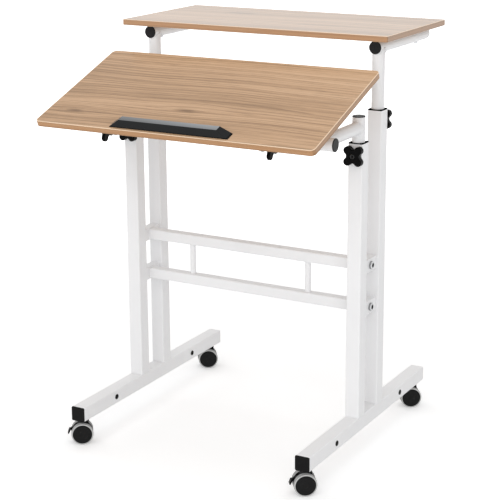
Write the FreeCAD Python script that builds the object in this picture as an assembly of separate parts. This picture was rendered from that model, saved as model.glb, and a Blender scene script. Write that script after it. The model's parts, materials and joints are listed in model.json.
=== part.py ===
import FreeCAD, Part
import math
import os

# Rolling desk cart on a white tube frame: a tilting front desktop on two sliding front tubes, and a flat
# upper shelf on two sliding rear tubes. Millimetres, +X to the user's right, +Y to the back, +Z up.
# Shapes are placed about the mid-plane between front and rear posts and moved to the box centre at the end.

# Boards
desk_width = 600.0
desk_depth = 295.0
desk_corner = 10.0
desk_tilt = 20.0
desk_front_reach = 321.5
desk_front_height = 680.7
shelf_width = 598.0
shelf_depth = 293.0
shelf_corner = 4.0
shelf_front_reach = 13.0
shelf_top_height = 842.2
board_thickness = 12.0
board_arris = 1.0

# Feet and posts, all of one square tube that goes round the sliding tubes with a plastic bush between
post_inset = 42.5
post_y = 43.5
square_wall = 1.2
square_corner = 2.4
bush_wall = 0.8
bush_flange = 2.0
bush_depth = 14.0
slide_play = 0.3
foot_length = 552.0
cap_flange = 2.5
cap_plug = 8.0
plug_spread = 152.5
plug_offset = -4.5
plug_shank_radius = 4.5
plug_shank_length = 5.0
plug_rim = 1.0
plug_head_height = 1.2

# Round tubes; each lift stands out of its posts by its own length
tube_diameter = 25.4
tube_wall = 1.5
tube_cap_flange = 2.0
weld_gap = 0.1
desk_lift_out = 14.5
shelf_lift_out = 108.3
front_riser_above_arm = 21.4
front_riser_bottom = 103.0
rear_riser_bottom = 203.0
cross_tube_overhang = 31.1
rail_front_reach = 16.5
rail_back_inset = 12.0
pad_height = 4.3
pad_length = 34.0
pad_width = 18.0
pad_inset = 42.0

# Crossbars, their spacer blocks, bolts and rods
bar_side = 22.0
bar_wall = 1.2
bar_corner = 2.4
lower_bar_height = 300.2
bar_rise = 86.5
bar_end_plate = 4.0
spacer_thickness = 20.0
spacer_height = 26.0
spacer_wall = 2.0
bolt_radius = 4.0
bolt_play = 0.4
bolt_head_radius = 8.0
bolt_head_height = 5.0
bolt_head_round = 2.0
bolt_socket_radius = 3.4
bolt_socket_depth = 3.0
bolt_tail = 5.0
rod_radius = 6.0
rod_half_spacing = 136.0
rod_offset = -8.0

# Star knobs
knob_radius = 23.4
knob_lobe_radius = 7.8
knob_waist = 13.3
knob_thickness = 13.0
knob_standoff = 1.0
knob_edge_round = 1.8
knob_dish_radius = 6.5
knob_dish_depth = 1.0
knob_drop = 22.0
knob_turn = 45.0
stud_radius = 3.0
stud_fit = 0.05
stud_play = 0.4
stud_tip_gap = 0.3
nut_radius = 6.0
nut_thickness = 3.6
nut_room = 0.6

# Desktop tilt: pivot measured from the board's front top edge, along the board and below its underside
pivot_along = 58.3
pivot_drop = 29.0
tilt_knob_gap = 5.6
tab_rise = 7.1
tab_x = 160.0
tab_thickness = 4.0
tab_nose_radius = 9.5
tab_root_radius = 11.5
ear_thickness = 3.0
ear_nose_radius = 9.0
ear_root_radius = 18.0
bracket_length = 50.0
bracket_flange = 30.0
hinge_gap = 0.3
hinge_head_radius = 6.0
hinge_head_height = 4.0
tilt_knob_collar_radius = 8.0
tilt_knob_collar = 11.0
tilt_knob_thickness = 7.0
tilt_knob_crown = 2.4
tilt_bolt_gap = 0.5
tilt_knob_turn = -24.0

# Wood screws
screw_radius = 2.0
screw_head_radius = 4.5
screw_head_height = 2.4
screw_bite = 8.0
screw_recess_length = 4.6
screw_recess_width = 1.0
screw_recess_depth = 1.3
bracket_screw_half = 16.0
bracket_screw_inset = 9.0

# Book stop on the desktop's front edge
stop_centre_x = -3.5
stop_base_half = 128.5
stop_top_half = 105.5
stop_base_front = 6.5
stop_base_back = 28.0
stop_top_front = 10.5
stop_top_back = 25.0
stop_height = 15.0
stop_round = 0.8

# Twin-wheel casters, all turned the same way
caster_inset = 23.0
caster_yaw = 216.0
caster_trail = 5.5
wheel_radius = 22.6
wheel_width = 10.5
wheel_side_gap = 0.5
tyre_depth = 2.9
tyre_round = 1.5
hub_proud = 0.4
hub_round = 1.0
axle_radius = 3.0
axle_fit = 0.05
axle_end_cover = 3.3
axle_end_gap = 0.4
stem_radius = 4.0
stem_fit = 0.05
stem_axle_gap = 3.0
stem_end_gap = 0.6
stem_above_nut = 6.0
stem_collar_radius = 8.0
stem_collar_height = 3.0
stem_nut_radius = 7.0
stem_nut_height = 5.0
hood_inset = 0.6
hood_thickness = 12.0
hood_skirt_drop = 2.0
hood_hub_radius = 8.0
hood_top_radius = 8.8
hood_top_height = 3.7
hood_top_gap = 0.5
hood_neck_half = 8.0
hood_wheel_gap = 0.8
lever_pivot_inset = 7.6
lever_pivot_rise = 11.0
lever_knee_reach = 3.4
lever_knee_rise = 7.0
lever_tip_reach = 6.4
lever_root_radius = 3.6
lever_knee_radius = 1.7
lever_tip_radius = 1.4
lever_arm_width = 5.8
lever_paddle_width = 11.0
lever_pin_radius = 1.5
lever_pin_fit = 0.05
lever_side_gap = 0.3
lever_slot_floor = 1.0
lever_slot_ceiling = 19.0
lever_slot_room = 1.4

V = FreeCAD.Vector
ORIGIN = V(0, 0, 0)
AXIS_X = V(1, 0, 0)
AXIS_Y = V(0, 1, 0)
AXIS_Z = V(0, 0, 1)

# Derived sections: the square tube takes the bush, and the bush takes the sliding tube
tube_radius = tube_diameter / 2
square_inner = tube_diameter + 2 * (slide_play + bush_wall)
square_side = square_inner + 2 * square_wall
plug_head_radius = plug_shank_radius + plug_rim
bolt_hole_radius = bolt_radius + bolt_play
stud_hole_radius = stud_radius + stud_play
tilt_knob_bore = tilt_knob_collar + tilt_knob_thickness - tilt_knob_crown

# Derived places of the casters, feet and crossbars
hood_radius = wheel_radius - hood_inset
hood_lower_edge = wheel_radius - hood_skirt_drop
wheel_inner = hood_thickness / 2 + wheel_side_gap
wheel_outer = wheel_inner + wheel_width
axle_half = wheel_outer - axle_end_cover - axle_end_gap
stem_bottom = wheel_radius + axle_radius + stem_axle_gap
hood_top_bottom = 2 * wheel_radius + hood_wheel_gap
foot_clearance = hood_top_bottom + hood_top_height + hood_top_gap + stem_collar_height
foot_top = foot_clearance + square_side
foot_middle = foot_clearance + square_side / 2
caster_y = foot_length / 2 - caster_inset
lever_pivot_x = hood_radius - lever_pivot_inset
lever_pivot_z = wheel_radius + lever_pivot_rise
lever_knee_x = hood_radius + lever_knee_reach
lever_knee_z = wheel_radius + lever_knee_rise
lever_tip_x = hood_radius + lever_tip_reach
lever_tip_z = wheel_radius
lever_slot_bottom = wheel_radius + lever_slot_floor
lever_slot_top = wheel_radius + lever_slot_ceiling
lever_slot_back = lever_root_radius + lever_slot_room
post_x = shelf_width / 2 - post_inset
post_front_face = post_y + square_side / 2
upper_bar_height = lower_bar_height + bar_rise
spacer_half = spacer_thickness / 2
spacer_reach = post_y - square_side / 2
bar_half = post_x - spacer_half

# Derived places of the upper shelf and the posts under it
shelf_underside = shelf_top_height - board_thickness
shelf_back = shelf_depth - shelf_front_reach
rail_height = shelf_underside - pad_height - tube_radius
rail_front = post_y - rail_front_reach
rail_back = shelf_back - rail_back_inset
rear_post_top = rail_height - tube_radius - shelf_lift_out - bush_flange

# Derived places of the desktop, its tilt axis, the tubes that carry it and the posts under them
tilt_radians = math.radians(desk_tilt)
pivot_below = board_thickness + pivot_drop
pivot_y = pivot_along * math.cos(tilt_radians) + pivot_below * math.sin(tilt_radians) - desk_front_reach
pivot_z = pivot_along * math.sin(tilt_radians) - pivot_below * math.cos(tilt_radians) + desk_front_height
cross_tube_y = pivot_y + knob_radius + tilt_knob_gap + tube_radius
cross_tube_half = post_x + cross_tube_overhang
arm_height = pivot_z + tab_rise
front_riser_top = arm_height + front_riser_above_arm
front_post_top = arm_height - tube_radius - desk_lift_out - bush_flange


def cylinder(radius, start, end):
    """Round bar between two points."""
    return Part.makeCylinder(radius, end.sub(start).Length, start, end.sub(start))


def pipe(radius, wall, start, end):
    """Round tube between two points, open at both ends."""
    return cylinder(radius, start, end).cut(cylinder(radius - wall, start, end))


def prism(width, depth, corner, height):
    """Upright prism standing on z = 0, centred on the z axis, with rounded upright edges."""
    block = Part.makeBox(width, depth, height, V(-width / 2, -depth / 2, 0))
    upright = [edge for edge in block.Edges if edge.BoundBox.ZLength > height / 2]
    return block.makeFillet(corner, upright)


def square_pipe(side, wall, corner, length):
    """Square tube standing on z = 0, centred on the z axis."""
    inner = side - 2 * wall
    return prism(side, side, corner, length).cut(prism(inner, inner, corner - wall, length))


def lay_back(shape):
    """Turn a shape that stands along +Z so that it lies along +Y."""
    shape.rotate(ORIGIN, AXIS_X, -90)
    return shape


def lay_right(shape):
    """Turn a shape that stands along +Z so that it lies along +X."""
    shape.rotate(ORIGIN, AXIS_Y, 90)
    return shape


def moved(shape, x, y, z):
    """Copy of a shape shifted by x, y, z."""
    copy = shape.copy()
    copy.translate(V(x, y, z))
    return copy


def mirrored(shape):
    """Copy of a shape on the other side of the YZ plane."""
    return shape.mirror(ORIGIN, AXIS_X)


def both_sides(shape):
    """A shape and its mirror image, as two separate solids."""
    return Part.makeCompound([mirrored(shape), shape])


def link(first, first_radius, second, second_radius, thickness):
    """Flat link in the YZ plane, centred on x = 0: two rounded ends joined by tangent sides."""
    run = math.hypot(second[0] - first[0], second[1] - first[1])
    heading = math.atan2(second[1] - first[1], second[0] - first[0])
    spread = math.acos((first_radius - second_radius) / run)

    def at(centre, radius, angle):
        return V(-thickness / 2, centre[0] + radius * math.cos(angle), centre[1] + radius * math.sin(angle))

    first_left = at(first, first_radius, heading + spread)
    first_back = at(first, first_radius, heading + math.pi)
    first_right = at(first, first_radius, heading - spread)
    second_right = at(second, second_radius, heading - spread)
    second_front = at(second, second_radius, heading)
    second_left = at(second, second_radius, heading + spread)
    edges = [Part.Arc(first_left, first_back, first_right).toShape(),
             Part.LineSegment(first_right, second_right).toShape(),
             Part.Arc(second_right, second_front, second_left).toShape(),
             Part.LineSegment(second_left, first_left).toShape()]
    return Part.Face(Part.Wire(edges)).extrude(V(thickness, 0, 0))


def hexagon(radius, start, height):
    """Hexagonal bar along +Z with corners on the given radius."""
    corners = [V(radius * math.cos(math.radians(60 * k)), radius * math.sin(math.radians(60 * k)), start)
               for k in range(7)]
    return Part.Face(Part.makePolygon(corners)).extrude(V(0, 0, height))


def panel(width, depth, corner):
    """Board standing on z = 0 with rounded plan corners and eased edges."""
    plate = prism(width, depth, corner, board_thickness)
    rims = [edge for edge in plate.Edges if edge.BoundBox.ZLength < board_thickness / 2]
    return plate.makeFillet(board_arris, rims)


def wood_screw(length):
    """Cross-recess wood screw along +Z: the head's underside is at z = 0 and the pan head hangs below."""
    head = cylinder(screw_head_radius, V(0, 0, -screw_head_height), ORIGIN)
    rim = [edge for edge in head.Edges if edge.BoundBox.ZMax < -screw_head_height / 2]
    head = head.makeFillet(screw_head_height / 2, rim)
    for wide, deep in ((screw_recess_length, screw_recess_width), (screw_recess_width, screw_recess_length)):
        corner = V(-wide / 2, -deep / 2, -screw_head_height)
        head = head.cut(Part.makeBox(wide, deep, screw_recess_depth, corner))
    return head.fuse(cylinder(screw_radius, ORIGIN, V(0, 0, length))).removeSplitter()


def tube_cap():
    """Plastic plug for a round tube along +Z: flange above z = 0, plug below it."""
    flange = cylinder(tube_radius, ORIGIN, V(0, 0, tube_cap_flange))
    rim = [edge for edge in flange.Edges if edge.BoundBox.ZMin > tube_cap_flange / 2]
    flange = flange.makeFillet(tube_cap_flange / 2, rim)
    return flange.fuse(cylinder(tube_radius - tube_wall, V(0, 0, -cap_plug), ORIGIN))


# Feet

def foot(side):
    """Square foot tube along Y with its cross holes and the two caster stem holes."""
    length = foot_length - 2 * cap_flange
    tube = moved(lay_back(square_pipe(square_side, square_wall, square_corner, length)),
                 0, -length / 2, foot_middle)
    for y in (plug_offset - plug_spread, plug_offset + plug_spread):
        tube = tube.cut(cylinder(plug_shank_radius, V(-square_side, y, foot_middle),
                                 V(square_side, y, foot_middle)))
    for y in (-caster_y, caster_y):
        tube = tube.cut(cylinder(stem_radius, V(0, y, 0), V(0, y, foot_middle)))
    return moved(tube, side * post_x, 0, 0)


def foot_end_caps():
    """Square plugs in the four foot ends."""
    cap = prism(square_side, square_side, square_corner, cap_flange)
    inner_corner = square_corner - square_wall
    cap = cap.fuse(moved(prism(square_inner, square_inner, inner_corner, cap_plug), 0, 0, -cap_plug))
    back = moved(lay_back(cap.copy()), 0, foot_length / 2 - cap_flange, foot_middle)
    front = back.mirror(ORIGIN, AXIS_Y)
    return Part.makeCompound([moved(piece, side * post_x, 0, 0)
                              for side in (-1, 1) for piece in (front, back)])


def foot_hole_plugs():
    """Round black plugs in the cross holes of both feet, on both sides."""
    head = cylinder(plug_head_radius, ORIGIN, V(0, 0, plug_head_height))
    rim = [edge for edge in head.Edges if edge.BoundBox.ZMin > plug_head_height / 2]
    head = head.makeFillet(plug_head_height / 2, rim)
    plug = head.fuse(cylinder(plug_shank_radius, V(0, 0, -plug_shank_length), ORIGIN))
    right = moved(lay_right(plug), square_side / 2, 0, foot_middle)
    pair = [right, mirrored(right)]
    places = [(side * post_x, plug_offset + end * plug_spread) for side in (-1, 1) for end in (-1, 1)]
    return Part.makeCompound([moved(piece, x, y, 0) for x, y in places for piece in pair])


# Posts

def post(side, end, top):
    """Square post on a foot, with the clamp stud's hole in its outer face."""
    tube = moved(square_pipe(square_side, square_wall, square_corner, top - foot_top), 0, 0, foot_top)
    height = top - knob_drop
    tube = tube.cut(cylinder(stud_hole_radius, V(0, 0, height), V(0, end * square_side, height)))
    return moved(tube, side * post_x, end * post_y, 0)


def post_bushes():
    """Plastic guide bushes in the four post tops."""
    bush = prism(square_side, square_side, square_corner, bush_flange)
    inner_corner = square_corner - square_wall
    bush = bush.fuse(moved(prism(square_inner, square_inner, inner_corner, bush_depth), 0, 0, -bush_depth))
    bush = bush.cut(cylinder(tube_radius + slide_play, V(0, 0, -bush_depth), V(0, 0, bush_flange)))
    places = [(side * post_x, end * post_y, top) for side in (-1, 1)
              for end, top in ((-1, front_post_top), (1, rear_post_top))]
    return Part.makeCompound([moved(bush, x, y, z) for x, y, z in places])


def knob_nuts():
    """Nuts on the posts' outer faces that take the clamp knobs' studs."""
    nut = hexagon(nut_radius, 0, nut_thickness)
    nut = nut.cut(cylinder(stud_radius + stud_fit, ORIGIN, V(0, 0, nut_thickness)))
    back = moved(lay_back(nut), 0, post_front_face, rear_post_top - knob_drop)
    lower = front_post_top - rear_post_top
    front = moved(back.mirror(ORIGIN, AXIS_Y), 0, 0, lower)
    return Part.makeCompound([moved(piece, side * post_x, 0, 0)
                              for side in (-1, 1) for piece in (front, back)])


# Crossbars

def crossbar(height):
    """Square bar between the two spacers, with tapped plates closing its ends."""
    tube = square_pipe(bar_side, bar_wall, bar_corner, 2 * bar_half)
    plate = prism(bar_side - bar_wall, bar_side - bar_wall, bar_corner - bar_wall / 2, bar_end_plate)
    bar = tube.fuse(plate).fuse(moved(plate, 0, 0, 2 * bar_half - bar_end_plate))
    bar = bar.cut(cylinder(bolt_radius, ORIGIN, V(0, 0, 2 * bar_half)))
    return moved(lay_right(bar), -bar_half, 0, height)


def crossbar_rods():
    """Two round rods that join the crossbars."""
    low = lower_bar_height + bar_side / 2
    high = upper_bar_height - bar_side / 2
    places = (rod_offset - rod_half_spacing, rod_offset + rod_half_spacing)
    return Part.makeCompound([cylinder(rod_radius, V(x, 0, low), V(x, 0, high)) for x in places])


def post_spacers():
    """Flat tubes between the front and rear posts, drilled for the crossbar bolts."""
    block = Part.makeBox(spacer_thickness, 2 * spacer_reach, spacer_height,
                         V(-spacer_half, -spacer_reach, -spacer_height / 2))
    hollow = Part.makeBox(spacer_thickness - 2 * spacer_wall, 2 * spacer_reach,
                          spacer_height - 2 * spacer_wall,
                          V(spacer_wall - spacer_half, -spacer_reach, spacer_wall - spacer_height / 2))
    block = block.cut(hollow)
    block = block.cut(cylinder(bolt_hole_radius, V(-spacer_half, 0, 0), V(spacer_half, 0, 0)))
    return Part.makeCompound([moved(block, side * post_x, 0, height) for side in (-1, 1)
                              for height in (lower_bar_height, upper_bar_height)])


def crossbar_bolts():
    """Button-head socket bolts through the spacers into the crossbar ends."""
    head = cylinder(bolt_head_radius, ORIGIN, V(0, 0, bolt_head_height))
    rim = [edge for edge in head.Edges if edge.BoundBox.ZMin > bolt_head_height / 2]
    head = head.makeFillet(bolt_head_round, rim)
    head = head.cut(hexagon(bolt_socket_radius, bolt_head_height - bolt_socket_depth, bolt_socket_depth))
    length = spacer_thickness + bar_end_plate + bolt_tail
    bolt = head.fuse(cylinder(bolt_radius, V(0, 0, -length), ORIGIN))
    right = moved(lay_right(bolt), post_x + spacer_half, 0, 0)
    return Part.makeCompound([moved(piece, 0, 0, height) for piece in (mirrored(right), right)
                              for height in (lower_bar_height, upper_bar_height)])


# Star knobs

def star_disc(turn, thickness):
    """Four-lobed disc on z = 0 with rounded edges and a shallow dish in its top."""
    step = math.pi / 4
    centre = knob_radius - knob_lobe_radius
    lean = centre * math.cos(step)
    rest = centre ** 2 + knob_waist ** 2 - 2 * lean * knob_waist - knob_lobe_radius ** 2
    hollow = rest / (2 * (knob_lobe_radius + lean - knob_waist))
    far = knob_waist + hollow

    def polar(radius, angle):
        return V(radius * math.cos(angle), radius * math.sin(angle), 0)

    edges = []
    for k in range(4):
        angle = math.radians(turn) + 2 * k * step
        lobe = polar(centre, angle)
        before = polar(far, angle - step)
        after = polar(far, angle + step)
        following = polar(centre, angle + 2 * step)
        reach = knob_lobe_radius / (knob_lobe_radius + hollow)
        start = lobe + (before - lobe) * reach
        end = lobe + (after - lobe) * reach
        next_start = following + (after - following) * reach
        edges.append(Part.Arc(start, polar(knob_radius, angle), end).toShape())
        edges.append(Part.Arc(end, polar(knob_waist, angle + step), next_start).toShape())
    disc = Part.Face(Part.Wire(edges)).extrude(V(0, 0, thickness))
    rims = [edge for edge in disc.Edges if edge.BoundBox.ZLength < thickness / 2]
    disc = disc.makeFillet(knob_edge_round, rims)
    return disc.cut(cylinder(knob_dish_radius, V(0, 0, thickness - knob_dish_depth), V(0, 0, thickness)))


def clamp_knob(side, end, top):
    """Star knob with its stud, on a post's outer face; the stud's tip stops short of the sliding tube."""
    disc = moved(star_disc(knob_turn, knob_thickness), 0, 0, knob_standoff)
    recess = nut_thickness + nut_room
    disc = disc.cut(cylinder(nut_radius + nut_room, ORIGIN, V(0, 0, recess)))
    tip = square_side / 2 - tube_radius - stud_tip_gap
    knob = disc.fuse(cylinder(stud_radius, V(0, 0, -tip), V(0, 0, recess)))
    knob = moved(lay_back(knob), 0, post_front_face, 0)
    if end < 0:
        knob = knob.mirror(ORIGIN, AXIS_Y)
    return moved(knob, side * post_x, 0, top - knob_drop)


# Sliding rear tubes and upper shelf

def rear_riser(side):
    """Round tube that slides in a rear post, notched to its shelf rail."""
    x = side * post_x
    tube = pipe(tube_radius, tube_wall, V(x, post_y, rear_riser_bottom), V(x, post_y, rail_height))
    return tube.cut(cylinder(tube_radius, V(x, -post_y, rail_height), V(x, rail_back, rail_height)))


def pad_places():
    """Places along Y of the two shelf pads on each rail."""
    return (rail_front + pad_inset, rail_back - pad_inset)


def shelf_rail(side):
    """Round rail under the upper shelf with two flat welded pads, drilled for the shelf screws."""
    start = V(0, rail_front, rail_height)
    end = V(0, rail_back, rail_height)
    rail = cylinder(tube_radius, start, end)
    for y in pad_places():
        rail = rail.fuse(Part.makeBox(pad_width, pad_length, shelf_underside - rail_height,
                                      V(-pad_width / 2, y - pad_length / 2, rail_height)))
    rail = rail.cut(cylinder(tube_radius - tube_wall, start, end))
    for y in pad_places():
        rail = rail.cut(cylinder(screw_radius, V(0, y, rail_height - tube_diameter),
                                 V(0, y, shelf_underside)))
    return moved(rail, side * post_x, 0, 0)


def shelf_rail_caps():
    """Round plugs in both ends of both rails."""
    back = moved(lay_back(tube_cap()), 0, rail_back, rail_height)
    front = lay_back(tube_cap()).mirror(ORIGIN, AXIS_Y)
    front = moved(front, 0, rail_front, rail_height)
    return Part.makeCompound([moved(piece, side * post_x, 0, 0)
                              for side in (-1, 1) for piece in (front, back)])


def shelf_screw_places():
    """Plan places of the shelf screws."""
    return [(side * post_x, y) for side in (-1, 1) for y in pad_places()]


def upper_shelf():
    """Flat upper shelf board with blind screw holes in its underside."""
    board = moved(panel(shelf_width, shelf_depth, shelf_corner), 0,
                  shelf_back - shelf_depth / 2, shelf_underside)
    for x, y in shelf_screw_places():
        board = board.cut(cylinder(screw_radius, V(x, y, shelf_underside),
                                   V(x, y, shelf_underside + screw_bite)))
    return board


def shelf_screws():
    """Screws up through the rails into the shelf."""
    low = rail_height - tube_radius
    screw = wood_screw(shelf_underside - low + screw_bite)
    return Part.makeCompound([moved(screw, x, y, low) for x, y in shelf_screw_places()])


# Sliding front tubes

def front_riser(side):
    """Round tube that slides in a front post."""
    x = side * post_x
    return pipe(tube_radius, tube_wall, V(x, -post_y, front_riser_bottom), V(x, -post_y, front_riser_top))


def cross_tube():
    """Round tube across the front that carries the desktop."""
    return pipe(tube_radius, tube_wall, V(-cross_tube_half, cross_tube_y, arm_height),
                V(cross_tube_half, cross_tube_y, arm_height))


def arm(side):
    """Round arm from a front riser to the cross tube, notched to both."""
    x = side * post_x
    tube = pipe(tube_radius, tube_wall, V(x, cross_tube_y, arm_height), V(x, -post_y, arm_height))
    notch = tube_radius + weld_gap
    tube = tube.cut(cylinder(notch, V(-cross_tube_half, cross_tube_y, arm_height),
                             V(cross_tube_half, cross_tube_y, arm_height)))
    return tube.cut(cylinder(notch, V(x, -post_y, front_riser_bottom), V(x, -post_y, front_riser_top)))


def lift_tube_caps():
    """Round plugs in the two front riser tops and the two cross tube ends."""
    upright = moved(tube_cap(), post_x, -post_y, front_riser_top)
    sideways = moved(lay_right(tube_cap()), cross_tube_half, cross_tube_y, arm_height)
    return Part.makeCompound([mirrored(upright), upright, mirrored(sideways), sideways])


def on_board(shape):
    """Move a shape drawn from the board's front top edge to its tilted place."""
    shape.rotate(ORIGIN, AXIS_X, desk_tilt)
    shape.translate(V(0, -desk_front_reach, desk_front_height))
    return shape


def hinge_tabs():
    """Two welded plates on the cross tube that hold the tilt bolts."""
    pivot = (pivot_y, pivot_z)
    root = (cross_tube_y, arm_height)
    tab = link(pivot, tab_nose_radius, root, tab_root_radius, tab_thickness)
    tab = tab.cut(cylinder(tube_radius, V(-tab_thickness, root[0], root[1]),
                           V(tab_thickness, root[0], root[1])))
    tab = tab.cut(cylinder(stud_radius, V(-tab_thickness, pivot[0], pivot[1]),
                           V(tab_thickness, pivot[0], pivot[1])))
    near = max(tab.Solids, key=lambda solid: solid.Volume)
    return both_sides(moved(near, tab_x, 0, 0))


def tilt_stack():
    """Places along X of the ear's inner face, the knob's inner end and the bolt's end."""
    ear = tab_x + tab_thickness / 2 + hinge_gap
    knob = ear + ear_thickness + hinge_gap
    return (ear, knob, knob + tilt_knob_bore - tilt_bolt_gap)


def hinge_bolts():
    """Bolts through the tabs: head inside, tail out through the ear into the tilt knob."""
    inside = tab_x - tab_thickness / 2
    bolt = moved(hexagon(hinge_head_radius, 0, hinge_head_height), 0, 0, -hinge_head_height)
    bolt = bolt.fuse(cylinder(stud_radius, ORIGIN, V(0, 0, tilt_stack()[2] - inside)))
    return both_sides(moved(lay_right(bolt), inside, pivot_y, pivot_z))


def tilt_knob():
    """Right-hand star knob with a collar and a blind bore, on the tilt bolt."""
    knob = cylinder(tilt_knob_collar_radius, ORIGIN, V(0, 0, tilt_knob_collar + knob_edge_round))
    knob = knob.fuse(moved(star_disc(tilt_knob_turn, tilt_knob_thickness), 0, 0, tilt_knob_collar))
    knob = knob.cut(cylinder(stud_radius + stud_fit, ORIGIN, V(0, 0, tilt_knob_bore)))
    return moved(lay_right(knob), tilt_stack()[1], pivot_y, pivot_z)


# Tilting desktop

def bracket_screw_places():
    """Places of the right-hand bracket's screws, across and along the board."""
    x = tilt_stack()[0] - bracket_flange + bracket_screw_inset
    return [(x, pivot_along - bracket_screw_half), (x, pivot_along + bracket_screw_half)]


def desktop_board():
    """Tilting desktop board with blind screw holes in its underside."""
    board = moved(panel(desk_width, desk_depth, desk_corner), 0, desk_depth / 2, -board_thickness)
    for x, y in bracket_screw_places():
        for place in (-x, x):
            board = board.cut(cylinder(screw_radius, V(place, y, -board_thickness),
                                       V(place, y, screw_bite - board_thickness)))
    return on_board(board)


def tilt_bracket():
    """Right-hand angle bracket under the board: flat flange with an ear that hangs round the tilt bolt."""
    ear_x = tilt_stack()[0]
    pivot = (pivot_along, -board_thickness - pivot_drop)
    root = (pivot_along, -board_thickness - ear_thickness)
    ear = link(pivot, ear_nose_radius, root, ear_root_radius, ear_thickness)
    tall = Part.makeBox(ear_thickness, bracket_length, pivot_drop + ear_root_radius,
                        V(-ear_thickness / 2, pivot_along - bracket_length / 2,
                          -board_thickness - pivot_drop - ear_root_radius))
    ear = moved(ear.common(tall), ear_x + ear_thickness / 2, 0, 0)
    flange = Part.makeBox(bracket_flange + ear_thickness, bracket_length, ear_thickness,
                          V(ear_x - bracket_flange, pivot_along - bracket_length / 2,
                            -board_thickness - ear_thickness))
    bracket = ear.fuse(flange)
    bracket = bracket.cut(cylinder(stud_radius + stud_fit, V(0, pivot[0], pivot[1]),
                                   V(desk_width, pivot[0], pivot[1])))
    for x, y in bracket_screw_places():
        bracket = bracket.cut(cylinder(screw_radius, V(x, y, -board_thickness - ear_thickness),
                                       V(x, y, -board_thickness)))
    return on_board(bracket.removeSplitter())


def desktop_screws():
    """Screws up through the brackets' flanges into the board."""
    screw = moved(wood_screw(ear_thickness + screw_bite), 0, 0, -board_thickness - ear_thickness)
    places = [(side * x, y) for x, y in bracket_screw_places() for side in (-1, 1)]
    return Part.makeCompound([on_board(moved(screw, x, y, 0)) for x, y in places])


def book_stop():
    """Hipped bar along the board's front edge that keeps books from sliding off."""
    def ring(half, front, back, height):
        corners = [V(-half, front, height), V(half, front, height), V(half, back, height),
                   V(-half, back, height), V(-half, front, height)]
        return Part.makePolygon(corners)

    base = ring(stop_base_half, stop_base_front, stop_base_back, 0)
    top = ring(stop_top_half, stop_top_front, stop_top_back, stop_height)
    bar = Part.makeLoft([base, top], True, True)
    rims = [edge for edge in bar.Edges if edge.BoundBox.ZMax > stop_height / 2]
    return on_board(moved(bar.makeFillet(stop_round, rims), stop_centre_x, 0, 0))


# Casters, drawn about the stem with the trail along +X and the axle along Y

def placed_caster(shape, side, end):
    """Copy of a caster piece turned to its resting yaw under a foot end."""
    copy = shape.copy()
    copy.rotate(ORIGIN, AXIS_Z, caster_yaw)
    copy.translate(V(side * post_x, end * caster_y, 0))
    return copy


def caster_stems():
    """Stems bolted up into the feet: collar under the foot, nut above its lower wall."""
    floor = foot_clearance + square_wall
    stem = cylinder(stem_radius, V(0, 0, stem_bottom), V(0, 0, floor + stem_nut_height + stem_above_nut))
    stem = stem.fuse(cylinder(stem_collar_radius, V(0, 0, foot_clearance - stem_collar_height),
                              V(0, 0, foot_clearance)))
    stem = stem.fuse(hexagon(stem_nut_radius, floor, stem_nut_height))
    return Part.makeCompound([moved(stem, side * post_x, end * caster_y, 0)
                              for side in (-1, 1) for end in (-1, 1)])


def caster_housing(with_brake):
    """Hood between the two wheels: half disc over the axle, hub, neck and a round top under the collar."""
    half = hood_thickness / 2
    back = V(caster_trail, -half, wheel_radius)
    front = V(caster_trail, half, wheel_radius)
    hood = cylinder(hood_radius, back, front)
    hood = hood.cut(Part.makeBox(4 * hood_radius, hood_thickness, hood_lower_edge + hood_radius,
                                 V(-2 * hood_radius, -half, -hood_radius)))
    hood = hood.fuse(cylinder(hood_hub_radius, back, front))
    hood = hood.fuse(Part.makeBox(2 * hood_neck_half, hood_thickness, hood_top_bottom - wheel_radius,
                                  V(-hood_neck_half, -half, wheel_radius)))
    top = hood_top_bottom + hood_top_height
    hood = hood.fuse(cylinder(hood_top_radius, V(0, 0, hood_top_bottom), V(0, 0, top)))
    hood = hood.cut(cylinder(stem_radius + stem_fit, V(0, 0, stem_bottom - stem_end_gap), V(0, 0, top)))
    hood = hood.cut(cylinder(axle_radius, back, front))
    if with_brake:
        hood = hood.cut(lever_slot())
        pin_z = V(caster_trail + lever_pivot_x, 0, lever_pivot_z)
        reach = V(0, half, 0)
        hood = hood.cut(cylinder(lever_pin_radius + lever_pin_fit, pin_z - reach, pin_z + reach))
    return hood


def lever_slot():
    """Room in the hood's edge for the brake lever's arm."""
    width = lever_arm_width + 2 * lever_side_gap
    return Part.makeBox(2 * hood_radius, width, lever_slot_top - lever_slot_bottom,
                        V(caster_trail + lever_pivot_x - lever_slot_back, -width / 2, lever_slot_bottom))


def brake_lever():
    """Brake lever: an arm on a cross pin in the hood and a paddle that hangs outside the wheels."""
    pivot = (caster_trail + lever_pivot_x, lever_pivot_z)
    knee = (caster_trail + lever_knee_x, lever_knee_z)
    tip = (caster_trail + lever_tip_x, lever_tip_z)
    lever = link(pivot, lever_root_radius, knee, lever_knee_radius, lever_arm_width)
    lever = lever.fuse(link(knee, lever_knee_radius, tip, lever_tip_radius, lever_paddle_width))
    half = hood_thickness / 2
    lever = lever.fuse(cylinder(lever_pin_radius, V(-half, pivot[0], pivot[1]), V(half, pivot[0], pivot[1])))
    lever.rotate(ORIGIN, AXIS_Z, -90)
    return lever


def caster_axle():
    """Steel axle pressed through the hood."""
    return cylinder(axle_radius, V(caster_trail, -axle_half, wheel_radius),
                    V(caster_trail, axle_half, wheel_radius))


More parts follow.
